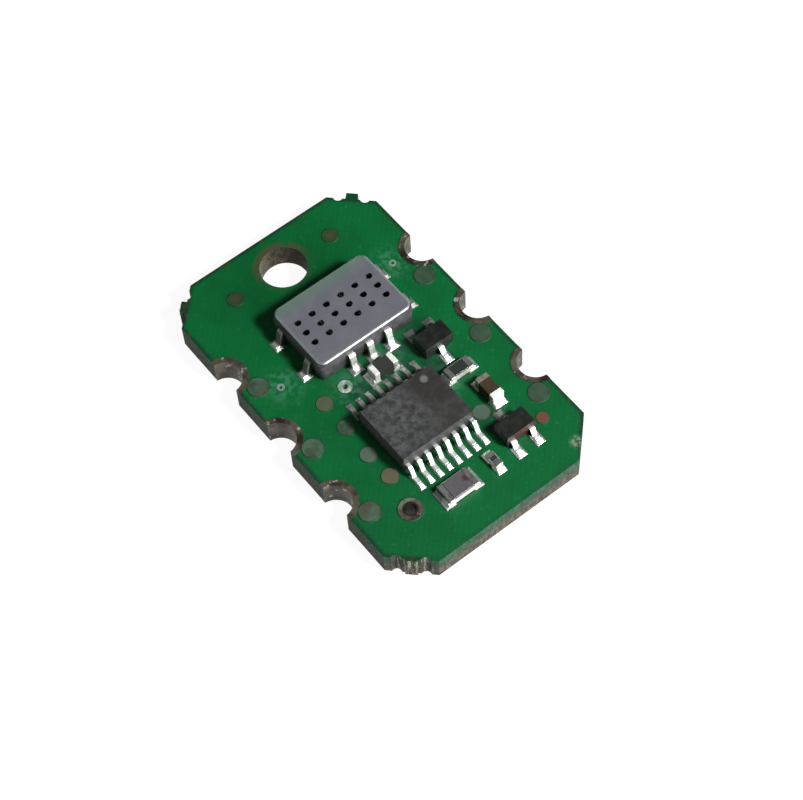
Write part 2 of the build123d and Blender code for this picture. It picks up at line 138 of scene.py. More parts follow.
back = Vector(
    (
        math.sin(AZIMUTH) * math.cos(ELEVATION),
        -math.cos(AZIMUTH) * math.cos(ELEVATION),
        math.sin(ELEVATION),
    )
)
level_right = Vector((math.cos(AZIMUTH), math.sin(AZIMUTH), 0))
level_up = back.cross(level_right)
right = level_right * math.cos(ROLL) + level_up * math.sin(ROLL)
up = level_up * math.cos(ROLL) - level_right * math.sin(ROLL)


def in_scene(name, data):
    """A new object in the scene."""
    made = bpy.data.objects.new(name, data)
    bpy.context.scene.collection.objects.link(made)
    return made


camera_data = bpy.data.cameras.new("portrait_camera")
camera_data.sensor_width = 36
camera_data.lens = FOCAL_PX / PHOTO_WIDTH_PX * camera_data.sensor_width
camera_data.clip_start = 0.001
camera_data.clip_end = 10
camera = in_scene("portrait_camera", camera_data)
place = (TARGET_MM + back * DISTANCE_MM - right * SLIDE_RIGHT_MM - up * SLIDE_UP_MM) * MM
camera.matrix_world = Matrix((right, up, back)).transposed().to_4x4()
camera.location = place
bpy.context.scene.camera = camera
print("lens, mm:", round(camera_data.lens, 2))

# %% [markdown]
# ## Node trees as plain expressions
# Node trees are slow to read as lists of links. A wire is one socket on its way through a tree, and it knows
# the usual operators, so a mask can be written as the formula that it is. Colours and vectors go through
# their own nodes, because a Math node would turn them grey. The same wires serve three kinds of tree: a
# material, the light of the room, and a shape that grows from points or paths.


# %% Wires
def both_ways(operation):
    """An operator of the class below and its reflected form, so that 1 - mask works as mask - 1 does."""
    return (
        lambda wire, other: wire.math(operation, wire, other),
        lambda wire, other: wire.math(operation, other, wire),
    )


class Wire:
    """A number, colour, vector or shape on its way through a node tree."""

    def __init__(self, recipe, socket):
        self.recipe = recipe
        self.socket = socket

    def math(self, operation, *values):
        return self.recipe.node("ShaderNodeMath", {"operation": operation}, *values)

    __add__, __radd__ = both_ways("ADD")
    __sub__, __rsub__ = both_ways("SUBTRACT")
    __mul__, __rmul__ = both_ways("MULTIPLY")
    __truediv__, __rtruediv__ = both_ways("DIVIDE")
    __pow__, __rpow__ = both_ways("POWER")

    def __abs__(self):
        return self.math("ABSOLUTE", self)

    def least(self, other):
        return self.math("MINIMUM", self, other)

    def most(self, other):
        return self.math("MAXIMUM", self, other)

    def sine(self):
        return self.math("SINE", self)

    def root(self):
        return self.math("SQRT", self)

    def step(self, start, end):
        """0 up to start, 1 from end on, a smooth rise between; with start above end, counted downwards."""
        return self.recipe.node(
            "ShaderNodeMapRange",
            {"interpolation_type": "SMOOTHSTEP"},
            Value=self,
            **{"From Min": start, "From Max": end, "To Min": 0.0, "To Max": 1.0},
        )


class Recipe:
    """A node tree under construction."""

    def __init__(self, tree):
        self.tree = tree

    def put(self, socket, value):
        if isinstance(value, Wire):
            self.tree.links.new(value.socket, socket)
        elif isinstance(value, (tuple, list)) and len(value) == 3 and socket.type == "RGBA":
            socket.default_value = (*value, 1)
        else:
            socket.default_value = value

    def node(self, kind, settings, *values, output=0, **named):
        """Adds a node: its settings first, then the values or links of its sockets."""
        made = self.tree.nodes.new(kind)
        for setting, value in settings.items():
            setattr(made, setting, value)
        for socket, value in zip(made.inputs, values):
            self.put(socket, value)
        for name, value in named.items():
            self.put(made.inputs[name], value)
        return Wire(self, made.outputs[output])

    def vector(self, operation, *values, **named):
        return self.node("ShaderNodeVectorMath", {"operation": operation}, *values, **named)

    def parts(self, vector):
        """The three numbers of a vector."""
        first = self.node("ShaderNodeSeparateXYZ", {}, vector)
        return tuple(Wire(self, out) for out in first.socket.node.outputs)

    def gather(self, x, y, z):
        return self.node("ShaderNodeCombineXYZ", {}, x, y, z)


# %% [markdown]
# ## Materials that know their place
# Every finish here reads Object coordinates, which are the place on the object itself. So a stain can be
# put at a spot measured in millimetres, and a pattern runs on from one piece to the next. The alternative,
# pictures wrapped round the pieces, would need an unfolded map of each of them. A mark is a share from 0 to
# 1 and a colour, and a surface with its history is a first colour with such marks laid over it in turn.


# %% Finishes
class Finish(Recipe):
    """One material under construction, with the place on the object in millimetres."""

    def __init__(self, name, **constants):
        self.material = bpy.data.materials.new(name)
        self.material.use_nodes = True
        super().__init__(self.material.node_tree)
        self.shader = self.tree.nodes["Principled BSDF"]
        self.surface = self.tree.nodes["Material Output"].inputs["Surface"]
        for socket, value in constants.items():
            self.shader.inputs[socket.replace("_", " ")].default_value = value
        coordinates = self.node("ShaderNodeTexCoord", {}, output="Object")
        self.place = self.vector("SCALE", coordinates, Scale=1 / MM)
        self.x, self.y, self.z = self.parts(self.place)

    def blend(self, factor, low, high):
        """A colour between two, by a factor from 0 to 1."""
        made = self.tree.nodes.new("ShaderNodeMix")
        made.data_type = "RGBA"
        sockets = {s.identifier: s for s in made.inputs}
        self.put(sockets["Factor_Float"], factor)
        self.put(sockets["A_Color"], low)
        self.put(sockets["B_Color"], high)
        return Wire(self, next(s for s in made.outputs if s.identifier == "Result_Color"))

    def layered(self, tone, *marks):
        """A colour with marks laid over it in turn, each a share from 0 to 1 and its colour."""
        for share, mark in marks:
            tone = self.blend(share, tone, mark)
        return tone

    def noise(self, per_mm, detail=3.0, roughness=0.55, stretch=(1, 1, 1)):
        """Noise from 0 to 1 with so many lumps to the millimetre."""
        stretched = self.vector("MULTIPLY", self.place, tuple(per_mm * s for s in stretch))
        inputs = {"Vector": stretched, "Scale": 1.0, "Detail": detail, "Roughness": roughness}
        return self.node("ShaderNodeTexNoise", {}, **inputs)

    def away(self, place_mm):
        """Distance over the board from a place, in millimetres."""
        away_x = self.x - place_mm[0]
        away_y = self.y - place_mm[1]
        return (away_x * away_x + away_y * away_y).root()

    def near(self, place_mm, radius_mm, soft_mm):
        """1 within a radius of a place on the board, falling to 0 over a soft edge."""
        return 1 - self.away(place_mm).step(radius_mm, radius_mm + soft_mm)

    def near_any(self, places_mm, radius_mm, soft_mm):
        """1 within a radius of any of some places, falling to 0 over a soft edge."""
        spots = [self.near(spot, radius_mm, soft_mm) for spot in places_mm]
        total = spots[0]
        for spot in spots[1:]:
            total = total.most(spot)
        return total

    def colour(self, value):
        self.put(self.shader.inputs["Base Color"], value)

    def rough(self, value):
        self.put(self.shader.inputs["Roughness"], value)

    def metal(self, value):
        self.put(self.shader.inputs["Metallic"], value)

    def bump(self, height, depth_mm, strength):
        """Relief of a depth in millimetres, for a height from 0 to 1."""
        inputs = {"Strength": strength, "Distance": depth_mm * MM, "Height": height}
        self.put(self.shader.inputs["Normal"], self.node("ShaderNodeBump", {}, **inputs))


def srgb(red, green, blue):
    """A colour as it shows on a screen, 0 to 255, as the light that a shader works with."""
    shares = (red / 255, green / 255, blue / 255)
    return tuple(s / 12.92 if s <= 0.04045 else ((s + 0.055) / 1.055) ** 2.4 for s in shares)


def dress(finish, *node_names):
    """Gives a finish to CAD nodes."""
    for name in node_names:
        mesh = nodes[name].data
        mesh.materials.clear()
        mesh.materials.append(finish.material)
    print(finish.material.name, "on", len(node_names), "nodes")


print("a screen's middle grey as light:", round(srgb(128, 128, 128)[0], 3))

# %% [markdown]
# ## The board's mask and its cut edges
# The board is woven glass in resin, green on both faces with solder mask, which is a cured lacquer. Its
# faces are at two known heights, so the height alone tells the mask from the sawn edge. The mask is clouded
# and a little darker at the end away from the mounting hole. Over that lie painted shade between the parts,
# where their shadows fall, a dark ragged rim along the outline, pale dried flux, a brown stain on one side
# of the hole and a grey scuff at a corner. The whole board is one material, because it is one solid.

# %% Measures of the mask
CORNER_CUT_MM = 2.1
COPPER_MM = 0.035
RIM_MM = (0.05, 0.34)
HOLE_PLACE = (-9.03, 0.0)
HOLE_RADIUS_MM = 1.4
SCAR_PLACE = (10.45, 5.5)
FLUX_PLACES = [(-0.2, -2.0), (-0.3, 0.6), (-5.3, 4.9), (-2.6, -4.8), (2.9, 2.2)]
# Places of painted shade, where the parts cast their shadows on the mask.
CAST_SHADE_PLACES = [(-0.5, 3.1), (6.7, 2.9), (0.6, 1.6), (0.7, 0.2), (0.6, -1.3), (1.6, 2.7), (-0.3, 1.5)]
print("mask above the board's underside, mm:", round(BOARD_TOP, 3))

# %% Tones of the mask
MASK_GREEN = srgb(2, 94, 45)
MASK_DEEP = srgb(2, 85, 41)
MASK_LEE = srgb(0, 74, 38)
MASK_PALE = srgb(66, 128, 102)
CAST_SHADE_GREEN = srgb(16, 54, 42)
RIM_GREEN = srgb(8, 38, 26)
RIM_BROWN = srgb(52, 46, 36)
STAIN_BROWN = srgb(74, 66, 48)
SCAR_GREY = srgb(110, 122, 108)
print("the mask's green as light:", [round(share, 3) for share in MASK_GREEN])

# %% The rim
mask = Finish("solder_mask", IOR=1.45)
side_gap = HALF_LENGTH - abs(mask.x)
long_gap = HALF_WIDTH - abs(mask.y)
corner_reach = HALF_LENGTH + HALF_WIDTH - CORNER_CUT_MM
corner_gap = (corner_reach - (abs(mask.x) + abs(mask.y))) * math.sqrt(0.5)
rim = 1 - side_gap.least(long_gap).least(corner_gap).step(*RIM_MM)
rim = rim * (1 - mask.x.step(HALF_LENGTH - 0.8, HALF_LENGTH - 0.3) * 0.7)
ragged = mask.noise(2.2)
rim_tone = mask.blend(ragged.step(0.5, 0.62), RIM_GREEN, RIM_BROWN)
print("rim, mm wide:", RIM_MM[1])

# %% The mask's faces
clouds = mask.noise(0.5)
speckle = mask.noise(9, detail=2)
flecks = mask.noise(3.2, detail=2)
# painted shade: the parts' cast shadows, a darker green on the mask between them
cast_shade = mask.near_any(CAST_SHADE_PLACES, 0.5, 0.8) * mask.noise(1.8).step(0.26, 0.56)
flux = mask.near_any(FLUX_PLACES, 0.3, 1.4) * mask.noise(2.6, detail=4).step(0.4, 0.62)
stain = mask.near(HOLE_PLACE, HOLE_RADIUS_MM + 0.08, 0.46) * mask.noise(1.5).step(0.26, 0.46)
stain = stain * (0.15 + mask.x.step(-8.6, -10.0) * 0.75)
scar = mask.near(SCAR_PLACE, 0.18, 0.35) * mask.noise(5).step(0.35, 0.6)
face_marks = [
    (clouds.step(0.35, 0.7), MASK_DEEP),
    (mask.x.step(-2.0, 8.0) * 0.4, MASK_LEE),
    (flecks.step(0.62, 0.75) * 0.18, MASK_PALE),
    (cast_shade * 0.7, CAST_SHADE_GREEN),
    (rim * (0.3 + ragged * 0.9).least(1), rim_tone),
    (flux * 0.42, MASK_PALE),
    (stain, STAIN_BROWN),
    (scar, SCAR_GREY),
]
green = mask.layered(MASK_GREEN, *face_marks)
print("marks on the mask:", len(face_marks))

# %% [markdown]
# The sawn edge is cut glass cloth: pale bundle ends in brown resin, greener near the top face, with the
# plies as faint lines. The wall of the hole is browner, and pale on one side. One corner was torn, so its
# face shows upright white and brown stripes of fibre.

# %% The sawn edge
PLY_MM = 0.2
plies = (mask.z * (2 * math.pi / PLY_MM)).sine()
bundles = mask.noise(4.5, detail=4, stretch=(1, 1, 0.5))
resin = mask.blend(bundles.step(0.35, 0.7), srgb(44, 38, 32), srgb(84, 72, 60))
glass = mask.blend(bundles.step(0.3, 0.75), srgb(12, 46, 28), srgb(38, 74, 56))
green_share = mask.z / BOARD_TOP + (bundles - 0.5) * 0.5
print("plies of glass cloth:", round(BOARD_TOP / PLY_MM))

# %% The hole's wall and the torn corner
TORN_CORNER = (10.4, -6.0)
bore = mask.near(HOLE_PLACE, HOLE_RADIUS_MM + 0.05, 0.05)
bore_dark = mask.blend(bundles.step(0.35, 0.7), srgb(44, 34, 22), srgb(86, 74, 54))
bore_pale = mask.blend(bundles.step(0.3, 0.6), srgb(86, 86, 70), srgb(132, 132, 114))
bore_tone = mask.blend(mask.y.step(-1.3, 0.3), bore_pale, bore_dark)
torn = mask.near(TORN_CORNER, 0.9, 0.4)
stripes = mask.noise(6.5, detail=2, stretch=(1, 1, 0.12))
edge_marks = [
    (green_share.step(0.42, 0.62), glass),
    (plies.step(0.55, 1.0) * 0.25, srgb(96, 100, 88)),
    (bore * 0.8, bore_tone),
    (torn * stripes.step(0.48, 0.66), srgb(132, 132, 122)),
    (torn * (1 - stripes.step(0.34, 0.46)) * 0.85, srgb(52, 36, 24)),
]
edge = mask.layered(resin, *edge_marks)
print("marks on the edge:", len(edge_marks))

# %% The mask's gloss and weave
WEAVE_MM = 0.42
top_side = mask.z.step(BOARD_TOP - 0.012, BOARD_TOP - 0.004)
underside = 1 - mask.z.step(COPPER_MM, COPPER_MM + 0.006)
on_face = top_side.most(underside)
weave_x = (mask.x * (2 * math.pi / WEAVE_MM)).sine()
weave_y = (mask.y * (2 * math.pi / WEAVE_MM)).sine()
cloth = weave_x * weave_y * 0.14 + speckle * 0.22 + flux * flecks * 0.4
sawn = bundles + plies * 0.3 + torn * stripes * 1.5
mask.colour(mask.blend(on_face, edge, green))
mask.rough(0.76 - on_face * 0.4 + speckle * 0.08 + flux * 0.2)
mask.bump(cloth * on_face + (1 - on_face) * sawn, 0.03, 0.5)
dress(mask, "board")

# %% [markdown]
# ## Copper and tin
# Three metals lie on the board. The bare test pads have tarnished to brown and grey-green, each a little
# differently. The contacts in the notches are plated and dull. The lands under the parts are tinned and
# pale, as are the leads. One function makes them all, because only their colours, roughness and patches
# differ, and it returns the colour so far, so that marks can be laid over it.


# %% Flat metals
def plated_metal(name, dark, light, roughness, metallic, patches_per_mm=1.5, pit_mm=0.02):
    """A dull metal between two colours, with patches, fine pits and uneven gloss, and its colour so far."""
    metal = Finish(name)
    patches = metal.noise(patches_per_mm, detail=4)
    pits = metal.noise(14)
    tone = metal.blend(patches.step(0.35, 0.65), dark, light)
    tone = metal.blend(pits.step(0.55, 0.75) * 0.35, tone, dark)
    metal.colour(tone)
    metal.rough(roughness - 0.12 + patches * 0.16 + pits * 0.1)
    metal.metal(metallic)
    metal.bump(pits * 0.6 + patches * 0.4, pit_mm, 0.4)
    return metal, tone


# %% Contacts
test_hole = size_mm("test_hole")[2].tolist()
contact, tone = plated_metal("plated_contact", srgb(42, 36, 30), srgb(92, 86, 74), 0.5, 0.4, 1.1)
lit_side = contact.x.step(test_hole[0] + 0.2, test_hole[0] - 0.6) * contact.noise(2.0).step(0.3, 0.5)
tone = contact.layered(
    tone,
    # pale flecks: left-over tin on the plating, painted near white as its highlights
    (contact.noise(2.6, detail=2).step(0.62, 0.7) * 0.8, srgb(178, 176, 166)),
    (contact.near(test_hole, 0.7, 0.1) * lit_side * 0.8, srgb(112, 126, 104)),
    # painted shade: dark brown in the test hole's bore
    (contact.near(test_hole, 0.4, 0.1), srgb(34, 26, 18)),
)
contact.colour(tone)
dress(contact, "test_hole", *(f"edge_contact_{n}" for n in range(1, 7)))


# %% Places of the test pads
def rounds_of(*node_names):
    """Place and radius of each round solid of some CAD nodes, in millimetres."""
    boxes = [box for name in node_names for box in solids_of(name)]
    return [(((low + high) / 2)[:2].tolist(), float(high[0] - low[0]) / 2) for low, high in boxes]


END_X_MM = 8
pad_rounds = rounds_of("edge_test_pads", "face_test_pads")
hole_end_pads = [place for place, radius in pad_rounds if place[0] < -END_X_MM]
far_end_pads = [place for place, radius in pad_rounds if place[0] > END_X_MM]
print("test pads:", len(pad_rounds), "of them at the ends:", len(hole_end_pads), "and", len(far_end_pads))

# %% Test pads
SINGLE_PADS = [
    ((5.72, 2.66), srgb(84, 106, 94)),
    ((-0.2, -3.7), srgb(84, 92, 70)),
    ((3.9, -3.7), srgb(82, 102, 86)),
    ((5.7, -3.7), srgb(94, 84, 66)),
]
pads, tone = plated_metal("bare_copper", srgb(46, 66, 50), srgb(68, 94, 76), 0.55, 0.15, 1.3)
tone = pads.layered(
    tone,
    (pads.noise(0.8, detail=2).step(0.45, 0.6) * 0.45, srgb(76, 72, 52)),
    (pads.y.step(3.5, 5.0) * 0.55, srgb(28, 64, 40)),
    (pads.near_any(hole_end_pads, 0.5, 0.2) * 0.8, srgb(26, 66, 36)),
    (pads.near_any(hole_end_pads, 0.12, 0.25) * 0.8, srgb(70, 66, 42)),
    *((pads.near(place, 0.5, 0.1) * 0.75, shade) for place, shade in SINGLE_PADS),
    (pads.near_any(far_end_pads, 0.3, 0.2) * 0.8, srgb(104, 60, 46)),
)
pads.colour(tone)
dress(pads, "edge_test_pads", "face_test_pads")

# %% [markdown]
# Some joints of the transistors, the sensor and the smaller parts lie in shade, and painted shade makes them
# greenish grey and less metallic; so it does on the row of the circuit's leads that faces the sensor, which
# lies in the shadow of the circuit's body. The upright parts of the sensor's nearest leads are painted a
# darker grey, a painted reflection of the dark room. All tinned metal shares these places, so one function
# adds them to it.

# %% Painted shade on tin
SHADED_JOINTS = [
    (-0.6, 2.75),
    (-0.6, 4.05),
    (6.65, 3.3),
    (8.3, -2.8),
    *((x, y) for x in (-4.94, -2.4) for y in (-2.9, 3.9)),
]
SHADED_ROW_X = (0.62, 2.3)
SHADED_ROW_Y = (2.2, 2.0)
NEAREST_LEADS_Y = (-2.8, -2.9)
UPRIGHT_Z = (1.82, 1.94)


def with_painted_shade(metal, tone):
    """Lays painted shade on some joints and on the shaded row, and a painted reflection of the dark room on
    the uprights, over a tinned metal.
    """
    row_start, row_end = SHADED_ROW_X
    row = metal.x.step(row_start, row_start + 0.1) * metal.x.step(row_end, row_end - 0.1)
    row = row * metal.y.step(*SHADED_ROW_Y) * (0.55 + metal.noise(1.5) * 0.5)
    # painted shade: greenish grey and less metal on joints in shade and on the row in the circuit's shadow
    shade_share = metal.near_any(SHADED_JOINTS, 0.5, 0.12).most(row)
    # painted reflection: the uprights a darker grey, for the dark room that they mirror
    dark_room_reflection = metal.y.step(*NEAREST_LEADS_Y) * metal.z.step(*UPRIGHT_Z)
    marks = [(shade_share * 0.85, srgb(62, 74, 62)), (dark_room_reflection * 0.9, srgb(112, 108, 106))]
    metal.colour(metal.layered(tone, *marks))
    metal.metal(0.95 - shade_share * 0.6)
    return metal


# %% Lands, leads and vias
SENSOR_VIA = (-0.35, -2.15)
lands = plated_metal("tinned_copper", srgb(120, 128, 120), srgb(196, 202, 194), 0.4, 0.7)
dress(with_painted_shade(*lands), "sensor_lands", "ic_lands", "transistor_lands", "chip_lands")
leads = plated_metal("lead_metal", srgb(220, 224, 220), srgb(248, 251, 247), 0.52, 0.95, 3)
dress(with_painted_shade(*leads), "sensor_die_pad", *(name for name in nodes if "_leads" in name))

rings, tone = plated_metal("tinned_via", srgb(150, 170, 156), srgb(222, 232, 222), 0.45, 0.3)
covered = rings.noise(3.5, detail=2).step(0.48, 0.58) * 0.6
covered = covered.most((1 - rings.near(SENSOR_VIA, 0.6, 0.1)) * 0.75)
rings.colour(rings.blend(covered, tone, srgb(88, 140, 108)))
dress(rings, "vias")

# %% Chip ends
# Painted light on the end caps: painted shade on ends that face away from the light, painted highlights on
# ends that face it.
SHADED_ENDS = [(8.3, -2.4), (8.15, 1.17), (2.7, 2.6), (2.6, 4.05)]
HIGHLIT_ENDS = [(0.2, 0.85), (0.3, -0.55), (5.75, 3.78)]
WARM_END = (4.4, 3.78)
cap_top = float(size_mm("resistor_2_ends")[1][2])
ends, tone = plated_metal("chip_end_metal", srgb(196, 191, 182), srgb(242, 240, 234), 0.48, 0.95, 4)
# painted shade: the tops of the caps as high as the second resistor's, a darker grey for the dark room that
# they mirror
shaded_tops = ends.z.step(cap_top - 0.03, cap_top - 0.01) * (1 - ends.z.step(cap_top + 0.01, cap_top + 0.03))
# painted shade on the listed ends
shade_share = ends.near_any(SHADED_ENDS, 0.42, 0.15)
# painted highlight on the listed ends
highlight_share = ends.near_any(HIGHLIT_ENDS, 0.35, 0.1)
tone = ends.layered(
    tone,
    (shaded_tops * 0.7, srgb(96, 94, 94)),
    (shade_share * 0.7, srgb(84, 92, 84)),
    (ends.near(WARM_END, 0.4, 0.1) * 0.6, srgb(166, 150, 128)),
    (highlight_share * 0.7, srgb(240, 246, 240)),
)
ends.colour(tone)
ends.metal(0.95 - highlight_share * 0.7 - shade_share * 0.5)
dress(ends, *(name for name in nodes if name.endswith("_ends")))

# %% [markdown]
# ## The sensor's lid and base
# The lid is a stamped plate of grey metal with a matt, slightly mottled face. A painted reflection of the
# board's green lies at the edge towards the mounting hole, a painted highlight makes its rim paler, a broken
# line of painted highlight lies along the opposite edge, and painted shade darkens its sides. Those edges
# are worked out from the lid's box, so the marks move with it. The base is dark filled plastic, which moulds
# with a fine grain. Neither needs any geometry beyond the CAD.

# %% Lid
lid_low, lid_high, lid_middle = (corner.tolist() for corner in size_mm("sensor_lid"))
lid = Finish("lid_metal")
mottle = lid.noise(0.9)
grain = lid.noise(22, detail=2)
lid_gap_x = (lid_high[0] - lid_low[0]) / 2 - abs(lid.x - lid_middle[0])
lid_gap_y = (lid_high[1] - lid_low[1]) / 2 - abs(lid.y - lid_middle[1])
rim_highlight = 1 - lid_gap_x.least(lid_gap_y).step(0.04, 0.2)
side_shade = lid.z.step(lid_high[2] - 0.07, lid_high[2] - 0.11)
edge_highlight = lid.x.step(lid_high[0] - 0.1, lid_high[0] - 0.03) * (0.4 + lid.noise(2.5).step(0.4, 0.6))
# painted reflection of the board's green at the edge towards the hole; painted highlights on the rim and the
# far edge; painted shade on the sides
lid_tone = lid.layered(
    srgb(98, 122, 110),
    (lid.x.step(lid_low[0] + 0.1, lid_low[0] + 1.1), srgb(106, 107, 116)),
    (mottle.step(0.4, 0.7) * 0.3, srgb(126, 126, 130)),
    (grain.step(0.55, 0.75) * 0.3, srgb(108, 108, 112)),
    (rim_highlight * 0.5, srgb(150, 168, 156)),
    (edge_highlight.least(1), srgb(206, 202, 206)),
    (side_shade * 0.9, srgb(58, 58, 62)),
)
lid.colour(lid_tone)
lid.rough(0.42 + mottle * 0.12 + grain * 0.06)
lid.metal(0.3)
lid.bump(grain, 0.008, 0.4)
dress(lid, "sensor_lid")

# %% Moulded plastics
GRAIN_MM = 0.012


def moulded_plastic(name, dark, light, roughness):
    """Filled moulding resin: nearly black, with pale filler and a fine grain, and its colour so far."""
    plastic = Finish(name, IOR=1.45)
    filler = plastic.noise(16)
    wear = plastic.noise(1.8)
    tone = plastic.blend(wear.step(0.42, 0.7), dark, light)
    tone = plastic.blend(filler.step(0.58, 0.72) * 0.4, tone, light)
    plastic.colour(tone)
    plastic.rough(roughness + wear * 0.15)
    plastic.bump(filler, GRAIN_MM, 0.6)
    return plastic, tone


base_plastic = moulded_plastic("sensor_plastic", srgb(58, 57, 60), srgb(78, 78, 82), 0.5)[0]
dress(base_plastic, "sensor_base")

# %% [markdown]
# The circuit's body has a round dimple that marks its first lead, and a pale bloom on its face. The
# transistors are darker, with a warm painted highlight at one end, the end that faces the light.

# %% Bodies of the circuit and the transistors
DIMPLE_INSET_MM = (0.6, 0.85)
BLOOM_PLACE = (3.7, -2.0)
ic_low, ic_high = (corner.tolist() for corner in size_mm("ic_body")[:2])
dimple = (ic_low[0] + DIMPLE_INSET_MM[0], ic_high[1] - DIMPLE_INSET_MM[1])
beside_dimple = (dimple[0] + 0.3, dimple[1] - 0.3)
black, tone = moulded_plastic("moulded_black", srgb(42, 42, 41), srgb(56, 56, 55), 0.5)
bloom = black.near(BLOOM_PLACE, 1.5, 1.5) * black.noise(3.2, detail=4, roughness=0.6).step(0.34, 0.68)
tone = black.layered(
    tone,
    (bloom * 0.7, srgb(84, 86, 88)),
    (black.near(beside_dimple, 0.6, 1.2) * 0.5, srgb(34, 28, 27)),
    (black.near(dimple, 0.18, 0.12) * 0.8, srgb(106, 110, 106)),
)
black.colour(tone)
dress(black, "ic_body")

transistor_end = float(size_mm("transistor_1_body")[1][0])
transistor_black, tone = moulded_plastic("transistor_black", srgb(12, 16, 12), srgb(26, 30, 24), 0.45)
# painted highlight: a warm sheen on the end of the first transistor that faces the light
lit_end_sheen = transistor_black.x.step(transistor_end - 0.12, transistor_end)
transistor_black.colour(transistor_black.blend(lit_end_sheen * 0.8, tone, srgb(58, 30, 22)))
dress(transistor_black, "transistor_1_body", "transistor_2_body")

# %% [markdown]
# ## Ceramics, glaze and the parts under the lid
# Chip resistors are white ceramic with a black glaze, and chip capacitors are brown ceramic right through.
# Some chips are darker or greener than their neighbours, so a mark as wide as a chip lies on each of those.
# The sensing die is polished silicon with a porous oxide spot and gold wires. They hardly show, but a view
# through the lid's holes meets them.


# %% Ceramics
def fired_ceramic(name, dark, light, roughness, coat=0.0):
    """A fired surface: grainy, a little uneven, and glossy where glazed; and its colour so far."""
    fired = Finish(name, Coat_Weight=coat, Coat_Roughness=0.08)
    grains = fired.noise(18)
    drift = fired.noise(1.4, detail=2)
    tone = fired.blend(grains.step(0.35, 0.7) * 0.6 + drift * 0.3, dark, light)
    fired.colour(tone)
    fired.rough(roughness + grains * 0.12)
    fired.bump(grains, 0.01, 0.5)
    return fired, tone


resistors = [name for name in nodes if name.startswith("resistor_")]
core_top = float(size_mm("resistor_2_core")[1][2])
alumina, tone = fired_ceramic("alumina", srgb(186, 184, 176), srgb(222, 221, 214), 0.5)
top_share = alumina.z.step(core_top - 0.02, core_top - 0.005)
alumina.colour(alumina.blend(top_share * 0.8, tone, srgb(112, 106, 110)))
dress(alumina, *(name for name in resistors if name.endswith("_core")))
oxide = fired_ceramic("metal_oxide", srgb(120, 116, 104), srgb(150, 146, 132), 0.8)[0]
dress(oxide, "sensing_spot")

# %% Glaze and brown ceramic
CHIP_REACH_MM = 1.1
CHIP_EDGE_MM = 0.02
DARK_CHIPS = [(2.9, 3.3), (8.65, 1.17)]
GREENISH_CHIP = (0.2, 0.1)
RED_SPOT = (8.6, -0.75)
glaze, tone = fired_ceramic("black_glaze", srgb(70, 68, 71), srgb(92, 90, 93), 0.4, 0.3)
tone = glaze.layered(
    tone,
    (glaze.near_any(DARK_CHIPS, CHIP_REACH_MM, CHIP_EDGE_MM) * 0.85, srgb(26, 36, 31)),
    (glaze.near(RED_SPOT, 0.12, 0.2) * 0.8, srgb(58, 22, 34)),
)
glaze.colour(tone)
dress(glaze, *(name for name in resistors if name.endswith("_glaze")))
brown, tone = fired_ceramic("brown_ceramic", srgb(44, 32, 23), srgb(72, 58, 44), 0.4)
greenish = brown.near(GREENISH_CHIP, CHIP_REACH_MM, CHIP_EDGE_MM)
brown.colour(brown.blend(greenish * 0.85, tone, srgb(46, 52, 48)))
dress(brown, "capacitor_1_core", "capacitor_2_core")

# %% The die and its wires
silicon = Finish("silicon")
film = silicon.noise(1.2, detail=2)
silicon.colour(silicon.blend(film, srgb(92, 92, 112), srgb(116, 104, 124)))
silicon.rough(0.12 + film * 0.08)
silicon.metal(0.7)
silicon.bump(film, 0.002, 0.3)
dress(silicon, "sensor_die")
wires = plated_metal("gold_wire", srgb(212, 160, 70), srgb(240, 200, 110), 0.25, 1.0, 8, 0.002)[0]
dress(wires, "sensor_bond_wires")

# %% [markdown]
# ## Shapes that grow from points and paths
# Solder joints, tracks, mask lips and torn fibres all repeat one simple rule at many places. Modelling each
# by hand would take hours, and copying one would make them all alike. So each rule is a Geometry Nodes tree
# with named sizes and a fixed seed, and a small mesh of points or paths says where. A tree works in
# millimetres and turns its result into metres at the end. The result is then kept as a plain mesh.


